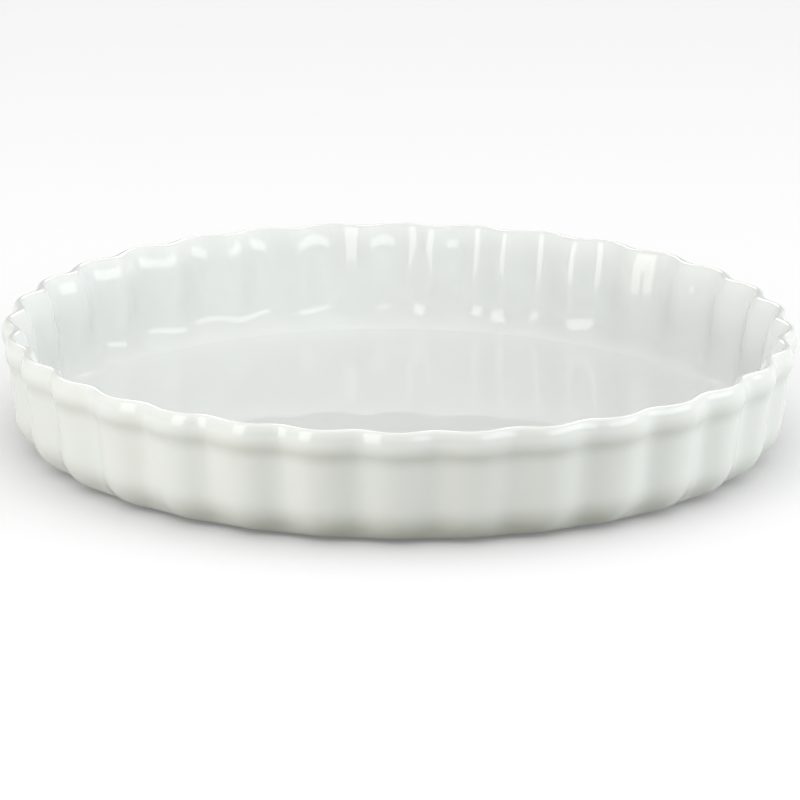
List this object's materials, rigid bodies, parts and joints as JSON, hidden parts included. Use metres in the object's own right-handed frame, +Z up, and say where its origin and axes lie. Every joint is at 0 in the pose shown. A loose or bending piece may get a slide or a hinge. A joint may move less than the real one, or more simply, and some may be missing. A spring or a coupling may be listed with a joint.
{
  "type": "fluted quiche dish",
  "caption": "Round shallow stoneware baking dish with a fluted wall, a rounded overhanging lip, a flat floor and a dry foot ring, coated in glossy white glaze.",
  "frame": {"origin": "centre of the plane that the foot ring stands on", "axes": "+Z up along the dish's axis, +X and +Y each through the crest of a flute"},
  "size_m": [0.28, 0.28, 0.0425],
  "materials": {
    "stoneware": "bare fired stoneware, matte and slightly sandy, seen only on the foot ring",
    "white_glaze": "clear gloss white glaze"
  },
  "bodies": {
    "root": {"stoneware_body": "stoneware", "glaze_coat": "white_glaze", "base_glaze": "white_glaze"}
  },
  "joints": []
}
